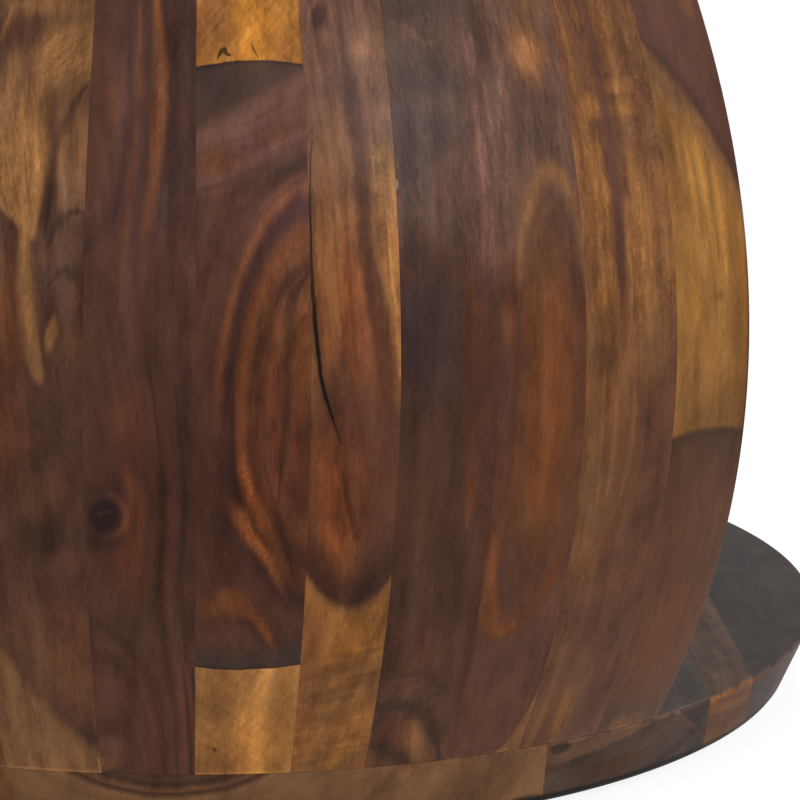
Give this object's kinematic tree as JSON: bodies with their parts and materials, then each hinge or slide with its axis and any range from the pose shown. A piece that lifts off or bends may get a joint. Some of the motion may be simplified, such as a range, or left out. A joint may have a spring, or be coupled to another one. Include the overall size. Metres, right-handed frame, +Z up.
{
  "type": "barrel coffee table",
  "caption": "Low round coffee table shaped like a barrel: curved panels of glued staves at front and rear between planked discs, open at both sides, in lacquered timber.",
  "frame": {"origin": "on the floor under the centre of the table", "axes": "+Z up, -Y towards the front panel, +X towards the right-hand open side"},
  "size_m": [0.611, 0.7, 0.4],
  "materials": {
    "stave_timber": "satin lacquer over mixed heartwood and sapwood",
    "disc_timber": "satin lacquer over dark heartwood",
    "dowel_beech": "plain planed",
    "glide_felt": "pressed felt"
  },
  "bodies": {
    "root": {"base_plank_1": "disc_timber", "base_plank_2": "disc_timber", "base_plank_3": "disc_timber", "base_plank_4": "disc_timber", "base_plank_5": "disc_timber", "base_plank_6": "disc_timber", "base_plank_7": "disc_timber", "floor_glide_1": "glide_felt", "floor_glide_2": "glide_felt", "floor_glide_3": "glide_felt", "floor_glide_4": "glide_felt", "front_base_dowel_1": "dowel_beech", "front_base_dowel_2": "dowel_beech", "front_base_dowel_3": "dowel_beech", "front_stave_01": "stave_timber", "front_stave_02": "stave_timber", "front_stave_03": "stave_timber", "front_stave_04": "stave_timber", "front_stave_05": "stave_timber", "front_stave_06": "stave_timber", "front_stave_07": "stave_timber", "front_stave_08": "stave_timber", "front_stave_09": "stave_timber", "front_stave_10": "stave_timber", "front_stave_11": "stave_timber", "front_stave_12": "stave_timber", "front_top_dowel_1": "dowel_beech", "front_top_dowel_2": "dowel_beech", "front_top_dowel_3": "dowel_beech", "rear_base_dowel_1": "dowel_beech", "rear_base_dowel_2": "dowel_beech", "rear_base_dowel_3": "dowel_beech", "rear_stave_01": "stave_timber", "rear_stave_02": "stave_timber", "rear_stave_03": "stave_timber", "rear_stave_04": "stave_timber", "rear_stave_05": "stave_timber", "rear_stave_06": "stave_timber", "rear_stave_07": "stave_timber", "rear_stave_08": "stave_timber", "rear_stave_09": "stave_timber", "rear_stave_10": "stave_timber", "rear_stave_11": "stave_timber", "rear_stave_12": "stave_timber", "rear_top_dowel_1": "dowel_beech", "rear_top_dowel_2": "dowel_beech", "rear_top_dowel_3": "dowel_beech", "top_plank_1": "disc_timber", "top_plank_2": "disc_timber", "top_plank_3": "disc_timber", "top_plank_4": "disc_timber", "top_plank_5": "disc_timber", "top_plank_6": "disc_timber", "top_plank_7": "disc_timber"}
  },
  "joints": []
}
